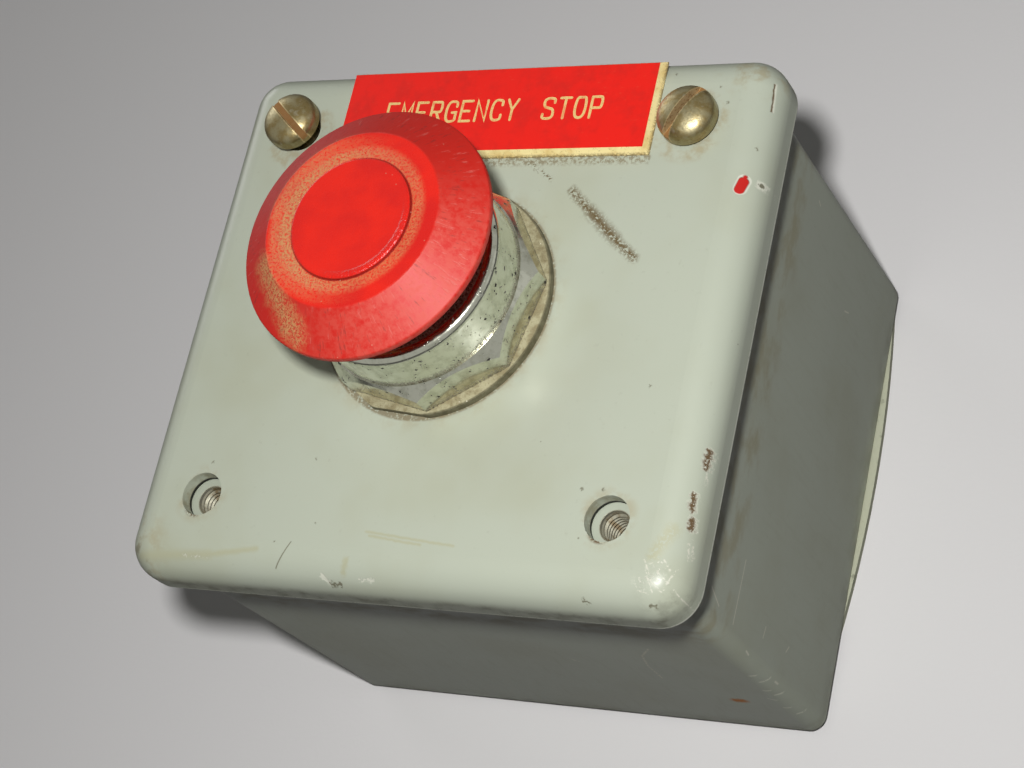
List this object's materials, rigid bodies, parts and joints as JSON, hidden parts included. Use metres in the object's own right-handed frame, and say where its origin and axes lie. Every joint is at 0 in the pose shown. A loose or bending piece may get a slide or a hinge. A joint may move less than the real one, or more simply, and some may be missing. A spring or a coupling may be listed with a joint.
{
  "type": "emergency stop push-button station",
  "caption": "Surface-mounted control box with a red mushroom-head stop button in a chromed bezel, a blank label plate, a spring-return contact block inside and a conduit entry.",
  "frame": {"origin": "middle of the back face, on the wall's plane", "axes": "+Z out of the front along the button, +Y towards the label's edge, +X to the right seen from the front"},
  "size_m": [0.0966, 0.0898, 0.1051],
  "materials": {
    "grey_green_enamel": "gloss enamel, worn at the edges",
    "base_rubber": "painted over with the box at its edge",
    "seal_rubber": "matt",
    "worn_brass": "dull, tarnished",
    "red_laminate": "red face over a cream core",
    "cream_fibre": "soiled",
    "chrome_plate": "bright, pitted",
    "red_plastic": "moulded, scuffed on the flank",
    "black_nylon": "moulded",
    "white_nylon": "moulded",
    "black_phenolic": "moulded",
    "brown_phenolic": "moulded",
    "contact_copper": "stamped strip with silver tips",
    "spring_steel": "drawn wire",
    "zinc_steel": "zinc plated"
  },
  "bodies": {
    "box": {"enclosure_body": "grey_green_enamel", "entry_wall": "grey_green_enamel", "lid_posts": "grey_green_enamel", "lid": "grey_green_enamel", "base_gasket": "base_rubber", "lid_gasket": "seal_rubber", "lid_screws": "worn_brass", "label_plate": "red_laminate", "earth_screw": "worn_brass", "earth_washer": "worn_brass", "trim_washer": "cream_fibre", "ring_nut": "chrome_plate", "bezel_collar": "chrome_plate", "wiper_seal": "seal_rubber", "panel_seal": "seal_rubber", "operator_bushing": "chrome_plate", "return_spring": "spring_steel", "contact_housing": "black_phenolic", "contact_cover": "brown_phenolic", "carrier_spring": "spring_steel", "fixed_contact_upper": "contact_copper", "fixed_contact_lower": "contact_copper", "terminal_clamps": "zinc_steel", "terminal_screws": "worn_brass", "block_screws": "zinc_steel"},
    "button": {"mushroom_head": "red_plastic", "plunger": "black_nylon", "circlip": "zinc_steel"},
    "carrier": {"contact_carrier": "white_nylon", "contact_bridge": "contact_copper", "contact_spring": "spring_steel"}
  },
  "joints": [
    {"name": "button_press", "type": "slide", "parent": "box", "child": "button", "axis": [0, 0, 1], "range_m": [-0.0055, 0], "stiffness_N_per_m": 1800, "springref_m": 0.003, "deforming": ["return_spring"]},
    {"name": "carrier_press", "type": "slide", "parent": "box", "child": "carrier", "axis": [0, 0, 1], "range_m": [-0.0055, 0], "stiffness_N_per_m": 300, "springref_m": 0.002, "deforming": ["carrier_spring"]}
  ],
  "couplings": [
    {"joint": "carrier_press", "follows": "button_press", "ratio": 1}
  ]
}
